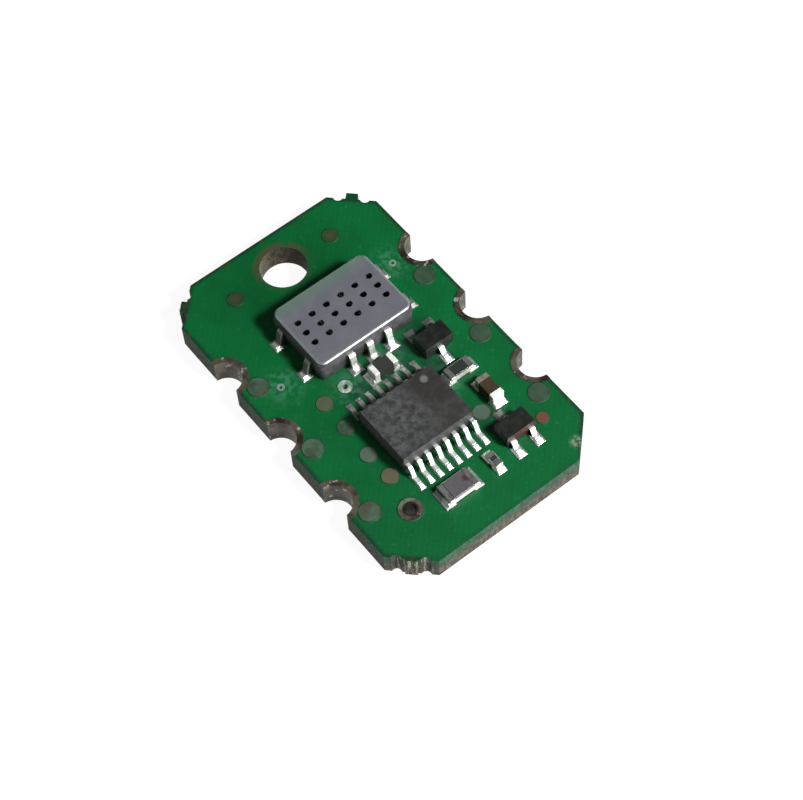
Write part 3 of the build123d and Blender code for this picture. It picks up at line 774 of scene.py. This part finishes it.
# %% Growths
class Growth(Recipe):
    """A shape under construction: a geometry tree with named sizes, in millimetres."""

    def __init__(self, name):
        super().__init__(bpy.data.node_groups.new(name, "GeometryNodeTree"))
        self.tree.interface.new_socket("Start", in_out="INPUT", socket_type="NodeSocketGeometry")
        self.tree.interface.new_socket("Shape", in_out="OUTPUT", socket_type="NodeSocketGeometry")
        self.entry = self.tree.nodes.new("NodeGroupInput")
        self.start = Wire(self, self.entry.outputs["Start"])
        self.sizes = {}

    def size(self, name, value):
        """A named input of the tree."""
        kind = "NodeSocketInt" if isinstance(value, int) else "NodeSocketFloat"
        made = self.tree.interface.new_socket(name, in_out="INPUT", socket_type=kind)
        self.sizes[made.identifier] = value
        return Wire(self, self.entry.outputs[name])

    def told(self, name):
        """Three numbers that each point carries with it, as separate wires."""
        read = self.node("GeometryNodeInputNamedAttribute", {"data_type": "FLOAT_VECTOR"}, Name=name)
        return self.parts(read)

    def chance(self, low, high, seed):
        """A random number for each element."""
        made = self.tree.nodes.new("FunctionNodeRandomValue")
        made.data_type = "FLOAT"
        sockets = {s.identifier: s for s in made.inputs}
        self.put(sockets["Min_001"], low)
        self.put(sockets["Max_001"], high)
        self.put(sockets["Seed"], seed)
        return Wire(self, next(s for s in made.outputs if s.identifier == "Value_001"))

    def grow(self, name, seeds, shape, finish, slot, *replaced):
        """Runs the tree on a mesh of seeds and keeps the result as a plain piece of the object."""
        real = self.node("GeometryNodeRealizeInstances", {}, shape)
        sized = self.node("GeometryNodeTransform", {}, real, Scale=(MM, MM, MM))
        painted = self.node("GeometryNodeSetMaterial", {}, sized, Material=finish.material)
        exit_node = self.tree.nodes.new("NodeGroupOutput")
        self.put(exit_node.inputs["Shape"], painted)
        piece = in_scene(name, seeds)
        modifier = piece.modifiers.new("growth", "NODES")
        modifier.node_group = self.tree
        for identifier, value in self.sizes.items():
            modifier[identifier] = value
        evaluated = piece.evaluated_get(bpy.context.evaluated_depsgraph_get())
        plain = bpy.data.meshes.new_from_object(evaluated)
        piece.modifiers.clear()
        piece.data = plain
        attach(piece, "root")
        if replaced:
            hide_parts(*replaced)
        print(name, "triangles:", sum(len(p.vertices) - 2 for p in plain.polygons))
        return piece


def seed_mesh(name, points, edges=(), **told):
    """Points in millimetres, joined by edges where they form a path, with three numbers each to carry."""
    mesh = bpy.data.meshes.new(name)
    mesh.from_pydata([tuple(map(float, p)) for p in points], list(edges), [])
    for key, values in told.items():
        carried = mesh.attributes.new(key, "FLOAT_VECTOR", "POINT")
        carried.data.foreach_set("vector", np.array(values, np.float32).ravel())
    return mesh


# %% [markdown]
# ## Solder joints
# Melted solder wets the land and climbs the foot of the lead, and surface tension pulls it into a hollow
# curve: steep at the metal, flat at the land's edge. That is one formula of the distance from the foot, so
# one tree makes every joint. A block with a fine grid stands on each land, and the formula sets the height
# of its top. The feet, the lands and their gaps are measured from the CAD model.

# %% Feet and lands
SUNK_MM = 0.004
PROBE_MM = 0.05


def joints_on(lands_node, metal_nodes, foot_mm):
    """For each lead or end cap that stands on a land: toe, turn, foot and land, in millimetres."""
    land_boxes = solids_of(lands_node)
    found = []
    for metal_node, body_node in metal_nodes:
        body_low, body_high, body_middle = size_mm(body_node)
        for low, high in solids_of(metal_node):
            middle = (low + high) / 2
            reach = np.abs(middle - body_middle)[:2] / (body_high - body_low)[:2]
            axis = int(np.argmax(reach))
            sign = 1 if middle[axis] > body_middle[axis] else -1
            toe = middle.copy()
            toe[axis] = high[axis] if sign > 0 else low[axis]
            probe = toe.copy()
            probe[axis] -= sign * PROBE_MM
            land_low, land_high = next(
                (a, b) for a, b in land_boxes if all(a[k] < probe[k] < b[k] for k in (0, 1))
            )
            far, near = (land_high, land_low) if sign > 0 else (land_low, land_high)
            found.append(
                {
                    "toe": (toe[0], toe[1], BOARD_TOP + COPPER_MM - SUNK_MM),
                    "turn": (0 if sign > 0 else math.pi) if axis == 0 else sign * math.pi / 2,
                    "foot": foot_mm,
                    "width": high[1 - axis] - low[1 - axis],
                    "land_toe": abs(far[axis] - toe[axis]),
                    "land_heel": abs(near[axis] - toe[axis]) - foot_mm,
                    "land_width": land_high[1 - axis] - land_low[1 - axis],
                }
            )
    return found


SENSOR_SIDES = ("front", "back", "left", "right")
SENSOR_FOOT_MM = 0.25
sensor_metal = [(f"sensor_leads_{side}", "sensor_base") for side in SENSOR_SIDES]
sensor_joints = joints_on("sensor_lands", sensor_metal, SENSOR_FOOT_MM)
print("first sensor joint:", {key: np.round(value, 3) for key, value in sensor_joints[0].items()})


# %% The tree of a joint
GRID = {"Vertices X": 22, "Vertices Y": 13, "Vertices Z": 2}
CORNER_SHARE = 0.2


def solder_tree(name):
    """A tree that grows a joint at each point, and its shape."""
    joint = Growth(name)
    film = joint.size("Film", 0.014)
    hollow = joint.size("Hollow", 1.35)
    vary = joint.size("Vary", 0.12)
    seed = joint.size("Seed", 7)
    block = joint.node("GeometryNodeMeshCube", {}, Size=(1, 1, 1), **GRID)
    own_place = joint.node("GeometryNodeInputPosition", {})
    luck = joint.chance(1 - vary, 1 + vary, seed)
    store = "GeometryNodeStoreNamedAttribute"
    vectors = {"data_type": "FLOAT_VECTOR", "domain": "POINT"}
    numbers = {"data_type": "FLOAT", "domain": "POINT"}
    block = joint.node(store, vectors, block, Name="grid", Value=own_place)
    marked = joint.node(store, numbers, joint.start, Name="luck", Value=luck)
    real = joint.node("GeometryNodeInstanceOnPoints", {}, marked, Instance=block)
    real = joint.node("GeometryNodeRealizeInstances", {}, real)
    grid_x, grid_y, grid_z = joint.told("grid")
    foot, width, turn = joint.told("foot")
    land_toe, land_heel, land_width = joint.told("land")
    rise_toe, rise_side, rise_heel = joint.told("rise")
    lucky = joint.node("GeometryNodeInputNamedAttribute", {"data_type": "FLOAT"}, Name="luck")
    along = (grid_x + 0.5) * (foot + land_heel + land_toe) - foot - land_heel
    across = grid_y * land_width
    past_toe = (along / land_toe).most(0)
    past_heel = ((0 - foot - along) / land_heel).most(0)
    past_side = ((abs(across) - width * 0.5) / (land_width * 0.5 - width * 0.5)).most(0)
    away = (past_toe * past_toe + past_heel * past_heel + past_side * past_side).root().least(1)
    climb = rise_side + (rise_toe - rise_side) * past_toe.step(0, CORNER_SHARE)
    climb = climb + (rise_heel - rise_side) * past_heel.step(0, CORNER_SHARE)
    height = (film + climb * lucky * (1 - away) ** hollow) * (grid_z + 0.5)
    local = joint.gather(along, across, height)
    about_z = {"rotation_type": "Z_AXIS"}
    turned = joint.node("ShaderNodeVectorRotate", about_z, Vector=local, Angle=turn)
    offset = joint.vector("SUBTRACT", turned, joint.gather(grid_x, grid_y, grid_z))
    moved = joint.node("GeometryNodeSetPosition", {}, real, Offset=offset)
    return joint, joint.node("GeometryNodeSetShadeSmooth", {}, moved)


# %% [markdown]
# Each joint carries three heights of its own: at the toe, the sides and the heel of the foot. The wider
# chips carry more solder than the smallest one, and none of them much at the heel, which is under the chip.

# %% Solder of the sensor
SOLDER_EDGE_MM = 0.01
LEAST_HEEL_MM = 0.01
SENSOR_RISE_MM = (0.26, 0.16, 0.26)
solder = with_painted_shade(*plated_metal("solder", srgb(220, 225, 220), srgb(250, 252, 250), 0.42, 0.95, 5))


def grow_solder(name, joints, rises_mm, replaced):
    """Solder on each joint, as high at its toe, side and heel as its three rises say."""
    heels = [max(j["land_heel"], LEAST_HEEL_MM) for j in joints]
    widths = [j["land_width"] - 2 * SOLDER_EDGE_MM for j in joints]
    seeds = seed_mesh(
        name + "_seeds",
        [j["toe"] for j in joints],
        foot=[(j["foot"], j["width"], j["turn"]) for j in joints],
        land=[(j["land_toe"], heel, width) for j, heel, width in zip(joints, heels, widths)],
        rise=rises_mm,
    )
    tree, shape = solder_tree(name + "_tree")
    return tree.grow(name, seeds, shape, solder, "solder", replaced)


grow_solder("sensor_fillets", sensor_joints, [SENSOR_RISE_MM] * len(sensor_joints), "sensor_solder")

# %% Solder of the circuit
IC_FOOT_MM = 0.45
IC_RISE_MM = (0.19, 0.11, 0.2)
TRANSISTOR_FOOT_MM = 0.24
TRANSISTOR_RISE_MM = (0.17, 0.1, 0.18)
ic_metal = [(f"ic_leads_{side}", "ic_body") for side in ("front", "back")]
ic_joints = joints_on("ic_lands", ic_metal, IC_FOOT_MM)
grow_solder("ic_fillets", ic_joints, [IC_RISE_MM] * len(ic_joints), "ic_solder")
pairs = [(f"transistor_{n}_leads", f"transistor_{n}_body") for n in (1, 2)]
pair_joints = joints_on("transistor_lands", pairs, TRANSISTOR_FOOT_MM)
pair_rises = [TRANSISTOR_RISE_MM] * len(pair_joints)
grow_solder("transistor_fillets", pair_joints, pair_rises, "transistor_solder")

# %% Solder of the chips
CAP_MM = 0.32
WIDE_MM = 0.6
WIDE_RISE_MM = (0.36, 0.14, 0.04)
SMALL_RISE_MM = (0.26, 0.1, 0.04)
caps = [(name, name.replace("_ends", "_core")) for name in nodes if name.endswith("_ends")]
chip_joints = joints_on("chip_lands", caps, CAP_MM)
chip_rises = [WIDE_RISE_MM if j["width"] > WIDE_MM else SMALL_RISE_MM for j in chip_joints]
grow_solder("chip_fillets", chip_joints, chip_rises, "chip_solder")

# %% [markdown]
# ## Tracks under the mask
# The copper that joins the parts lies under the mask, so it shows only as faint raised ribbons of the same
# green. A track is a path with rounded bends and one cross-section, which is what Curve to Mesh is for.
# Its profile is a low trapezium, because lacquer flows off a ribbon's edges.

# %% Tracks
ROUTES = [
    [(0.0, 5.6), (0.0, 5.1), (-0.55, 4.55), (-0.55, 4.36)],
    [(5.08, 5.6), (5.08, 5.0), (4.5, 4.45), (4.28, 4.24)],
    [(9.36, 3.95), (9.95, 3.95), (10.35, 3.5), (10.35, -1.0), (9.6, -1.75), (9.34, -2.2)],
    [(9.36, 2.65), (9.9, 2.2), (9.9, 1.6), (9.44, 1.2)],
    [(7.5, -2.77), (8.0, -3.1), (8.0, -3.45)],
    [(5.08, -5.6), (5.08, -5.0), (5.6, -4.5), (5.7, -4.15)],
    [(0.0, -5.6), (0.0, -4.6), (-0.15, -4.15)],
    [(-5.08, -5.6), (-5.08, -4.6), (-4.94, -3.76)],
    [(-5.25, 4.8), (-4.94, 4.6), (-4.94, 4.32)],
    [(1.75, -3.25), (1.3, -2.95)],
    [(-2.6, -4.75), (-2.4, -4.3), (-2.4, -3.76)],
    [(-8.8, 3.05), (-8.2, 2.5), (-7.3, 1.55), (-6.8, 1.55)],
    [(-8.7, -3.1), (-8.0, -2.4), (-7.0, -1.0), (-6.8, -1.0)],
    [(-0.35, -1.75), (-0.6, -1.4)],
]
points = [(x, y, BOARD_TOP) for route in ROUTES for x, y in route]
edges = []
start = 0
for route in ROUTES:
    edges += [(start + i, start + i + 1) for i in range(len(route) - 1)]
    start += len(route)
print("tracks:", len(ROUTES), "with", len(edges), "straight stretches")

# %% The tree of the tracks
ribbon = Growth("track_tree")
track_width = ribbon.size("Track Width", 0.2)
track_side = ribbon.size("Track Side", 0.1)
track_rise = ribbon.size("Track Rise", 0.012)
bend = ribbon.size("Bend Radius", 0.25)
paths = ribbon.node("GeometryNodeMeshToCurve", {}, ribbon.start)
rounding = {"Count": 5, "Limit Radius": True}
bent = ribbon.node("GeometryNodeFilletCurve", {"mode": "POLY"}, paths, Radius=bend, **rounding)
level = ribbon.node("GeometryNodeSetCurveNormal", {"mode": "Z_UP"}, bent)
section = {
    "Bottom Width": track_width + track_side,
    "Top Width": track_width,
    "Height": track_rise * 2,
    "Offset": 0.0,
}
profile = ribbon.node("GeometryNodeCurvePrimitiveQuadrilateral", {"mode": "TRAPEZOID"}, **section)
swept = ribbon.node("GeometryNodeCurveToMesh", {}, level, profile, **{"Fill Caps": True})
swept = ribbon.node("GeometryNodeSetShadeSmooth", {}, swept, **{"Shade Smooth": False})
routes = seed_mesh("track_routes", points, edges)
tracks = ribbon.grow("tracks_under_mask", routes, swept, mask, "solder_mask")
heights = [v.co.z / MM for v in tracks.data.vertices]
print("tracks from", round(min(heights), 4), "to", round(max(heights), 4), "mm")

# %% [markdown]
# ## Lips of mask round the pads
# Where the mask is opened over a pad, its edge draws back and leaves a thin, slightly raised lip, darker
# than the rest because dirt and flux collect there. Each is the same ring at another size, so one ring is
# put on every pad, via and test hole, and scaled by the radius that each was measured to have.

# %% Mask lips
LIP_SHARE = 0.07
lip_rounds = pad_rounds + rounds_of("vias", "test_hole")
lip_points = [(x, y, BOARD_TOP) for (x, y), radius in lip_rounds]
lip_rings = [(radius * (1 + LIP_SHARE / 2), 0, 0) for place, radius in lip_rounds]
lip_seeds = seed_mesh("pad_places", lip_points, ring=lip_rings)
lip_finish = Finish("mask_lip", IOR=1.45)
smear = lip_finish.noise(4)
lip_finish.colour(lip_finish.blend(smear.step(0.4, 0.65), srgb(12, 62, 34), srgb(58, 52, 36)))
lip_finish.rough(0.4 + smear * 0.2)
lip_finish.bump(smear, 0.01, 0.4)
print("lips:", len(lip_points))

# %% The tree of the lips
lip = Growth("lip_tree")
lip_share = lip.size("Lip Share", LIP_SHARE)
lip_rise = lip.size("Lip Rise", 0.022)
circle = lip.node("GeometryNodeCurvePrimitiveCircle", {}, Resolution=48, Radius=1.0)
bead = lip.node("GeometryNodeCurvePrimitiveCircle", {}, Resolution=6, Radius=lip_share)
torus = lip.node("GeometryNodeCurveToMesh", {}, circle, bead)
radius = lip.told("ring")[0]
lip_scale = lip.gather(radius, radius, lip_rise / lip_share)
lips = lip.node("GeometryNodeInstanceOnPoints", {}, lip.start, Instance=torus, Scale=lip_scale)
lips = lip.node("GeometryNodeSetShadeSmooth", {}, lips)
lip.grow("mask_lips", lip_seeds, lips, lip_finish, "solder_mask")

# %% [markdown]
# ## Torn glass at the corners
# The board was broken out of a panel at small tabs, and snapped glass cloth leaves stiff fibres standing out
# of the break. They are far too many to place by hand. Each break gets a cloud of points over its face, and
# a thin rod with a random length and lean at each of them. A break is a place, how far its stub stands out,
# and the direction in which it faces, in degrees.

# %% Breaks
BREAKS = [((-10.38, 5.935), 0.42, 135), ((-10.38, -5.935), 0.32, 225), ((10.38, -5.935), 0.12, 315)]
ROOT_MM = 0.04
break_points = []
break_turns = []
for (x, y), stub, degrees in BREAKS:
    angle = math.radians(degrees)
    out = stub - ROOT_MM
    break_points.append((x + math.cos(angle) * out, y + math.sin(angle) * out, 0))
    break_turns.append((angle, 0, 0))
break_seeds = seed_mesh("breaks", break_points, turn=break_turns)
fibre_finish = Finish("glass_fibre", IOR=1.5)
strand = fibre_finish.noise(9, detail=2)
fibre_finish.colour(fibre_finish.blend(strand.step(0.4, 0.6), srgb(70, 62, 44), srgb(158, 158, 142)))
fibre_finish.rough(0.45 + strand * 0.2)
fibre_finish.bump(strand, 0.004, 0.3)
print("breaks:", len(break_points))

# %% The tree of the fibres
BREAK_REACH_MM = 0.3
BREAK_HEIGHTS_MM = (0.12, 1.5)
LEAN = 0.3
SWERVE = 0.4
SHORTEST_SHARE = 0.35
fibre = Growth("fibre_tree")
amount = fibre.size("Fibres per Break", 34)
longest = fibre.size("Longest", 0.16)
thin = fibre.size("Fibre Radius", 0.011)
seed = fibre.size("Seed", 21)
cloud = fibre.node("GeometryNodeDuplicateElements", {"domain": "POINT"}, fibre.start, Amount=amount)
turn = fibre.told("turn")[0]
beside = fibre.chance(-BREAK_REACH_MM, BREAK_REACH_MM, seed)
sideways = fibre.gather(0.0, beside, fibre.chance(*BREAK_HEIGHTS_MM, seed + 1))
spread = fibre.node("ShaderNodeVectorRotate", {"rotation_type": "Z_AXIS"}, Vector=sideways, Angle=turn)
cloud = fibre.node("GeometryNodeSetPosition", {}, cloud, Offset=spread)
rod = fibre.node("GeometryNodeMeshCylinder", {}, Vertices=5, Radius=thin, Depth=1.0)
rod = fibre.node("GeometryNodeTransform", {}, rod, Translation=(0.0, 0.0, 0.5))
tilt = fibre.chance(math.pi / 2 - LEAN, math.pi / 2 + LEAN, seed + 2)
heading = turn + fibre.chance(-SWERVE, SWERVE, seed + 3)
aim = fibre.node("FunctionNodeEulerToRotation", {}, fibre.gather(0.0, tilt, heading))
stretch = fibre.gather(1.0, 1.0, fibre.chance(longest * SHORTEST_SHARE, longest, seed + 4))
rods = fibre.node("GeometryNodeInstanceOnPoints", {}, cloud, Instance=rod, Rotation=aim, Scale=stretch)
fibre.grow("torn_fibres", break_seeds, rods, fibre_finish, "solder_mask")

# %% [markdown]
# ## Floor and light
# The board lies on a white sheet. The sheet shows the camera and shiny metal a plain white, and still takes
# a faint shadow. From below it lets the camera through, so that the underside can be looked at. One soft
# lamp stands high on the side of the integrated circuit, a faint one opposite fills the shade, and a low,
# wide window behind the first gives upright metal its white flash. The rest of the room is dark, because the
# mask's gloss would otherwise wash out its deep green, and because the tops of the leads are dark on the
# real object.

# %% Floor
FLOOR_SIZE_M = 4.0
FLOOR_GLOW = 0.94
half = FLOOR_SIZE_M / 2
corners = [(-half, -half, 0), (half, -half, 0), (half, half, 0), (-half, half, 0)]
floor_mesh = bpy.data.meshes.new("paper_floor")
floor_mesh.from_pydata(corners, [], [(0, 1, 2, 3)])
floor = in_scene("paper_floor", floor_mesh)
floor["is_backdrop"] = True
print("floor, m:", FLOOR_SIZE_M)

# %% Paper
paper = Finish("paper", Roughness=0.9)
paper.colour(paper.blend(paper.noise(0.02), (0.86, 0.86, 0.86), (0.9, 0.9, 0.9)))
seen = paper.node("ShaderNodeLightPath", {}, output="Is Camera Ray")
mirrored = paper.node("ShaderNodeLightPath", {}, output="Is Glossy Ray")
through = paper.node("ShaderNodeLightPath", {}, output="Is Transmission Ray")
below = paper.node("ShaderNodeNewGeometry", {}, output="Backfacing")
glow = paper.node("ShaderNodeEmission", {}, Color=(1, 1, 1), Strength=FLOOR_GLOW)
lit = paper.node("ShaderNodeBsdfDiffuse", {}, Color=(0.1, 0.1, 0.1))
white = paper.node("ShaderNodeAddShader", {}, glow, lit)
matt = Wire(paper, paper.shader.outputs[0])
clear = paper.node("ShaderNodeBsdfTransparent", {})
above = paper.node("ShaderNodeMixShader", {}, seen.most(mirrored).most(through), matt, white)
paper.put(paper.surface, paper.node("ShaderNodeMixShader", {}, below, above, clear))
floor_mesh.materials.append(paper.material)
print("glow of the paper:", FLOOR_GLOW)

# %% Lamps
KEY_AIM = Vector((0.58, 0.29, 0.76))
KEY_DISTANCE_M = 0.12
KEY_SIZE_M = 0.02
KEY_WATTS = 0.17
FILL_SIZE_M = 0.08
FILL_AIM = Vector((-0.3, -0.6, 0.74))
FILL_WATTS = 0.01


def soft_lamp(name, aim, distance_m, size_m, watts):
    """A square soft light that faces the object from a direction."""
    light = bpy.data.lights.new(name, "AREA")
    light.shape = "SQUARE"
    light.size = size_m
    light.energy = watts
    lamp = in_scene(name, light)
    lamp.location = aim.normalized() * distance_m
    lamp.rotation_mode = "QUATERNION"
    lamp.rotation_quaternion = aim.to_track_quat("Z", "Y")
    return lamp


soft_lamp("key_lamp", KEY_AIM, KEY_DISTANCE_M, KEY_SIZE_M, KEY_WATTS)
soft_lamp("fill_lamp", FILL_AIM, KEY_DISTANCE_M, FILL_SIZE_M, FILL_WATTS)
print("key lamp, W:", KEY_WATTS)

# %% Room
WINDOW_AIM = Vector((0.94, 0.28, 0.16)).normalized()
WINDOW_EDGES = (math.cos(math.radians(28)), math.cos(math.radians(14)))
WINDOW_STRENGTH = 11.0
ROOM_STRENGTH = 0.05
world = bpy.data.worlds.new("dim_room")
world.use_nodes = True
room = Recipe(world.node_tree)
direction = room.node("ShaderNodeTexCoord", {}, output="Generated")
toward = room.vector("DOT_PRODUCT", direction, tuple(WINDOW_AIM), output="Value")
strength = toward.step(*WINDOW_EDGES) * (WINDOW_STRENGTH - ROOM_STRENGTH) + ROOM_STRENGTH
is_seen = room.node("ShaderNodeLightPath", {}, output="Is Camera Ray")
strength = strength * (1 - is_seen) + is_seen
background = room.tree.nodes["Background"]
room.put(background.inputs["Strength"], strength)
background.inputs["Color"].default_value = (1, 1, 1, 1)
bpy.context.scene.world = world
bpy.context.scene.view_settings.view_transform = "Standard"
print("window strength:", WINDOW_STRENGTH)

# %% [markdown]
# ## Measure and finish
# Blender must not change the object's size, so the box of the CAD model is compared with the box of the
# dressed model, and the largest difference is printed.

# %% Sizes and the last check
dressed_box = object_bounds()
growth = [abs(a - b) / MM for c, d in zip(cad_box, dressed_box) for a, b in zip(c, d)]
print("largest growth, mm:", max(growth))
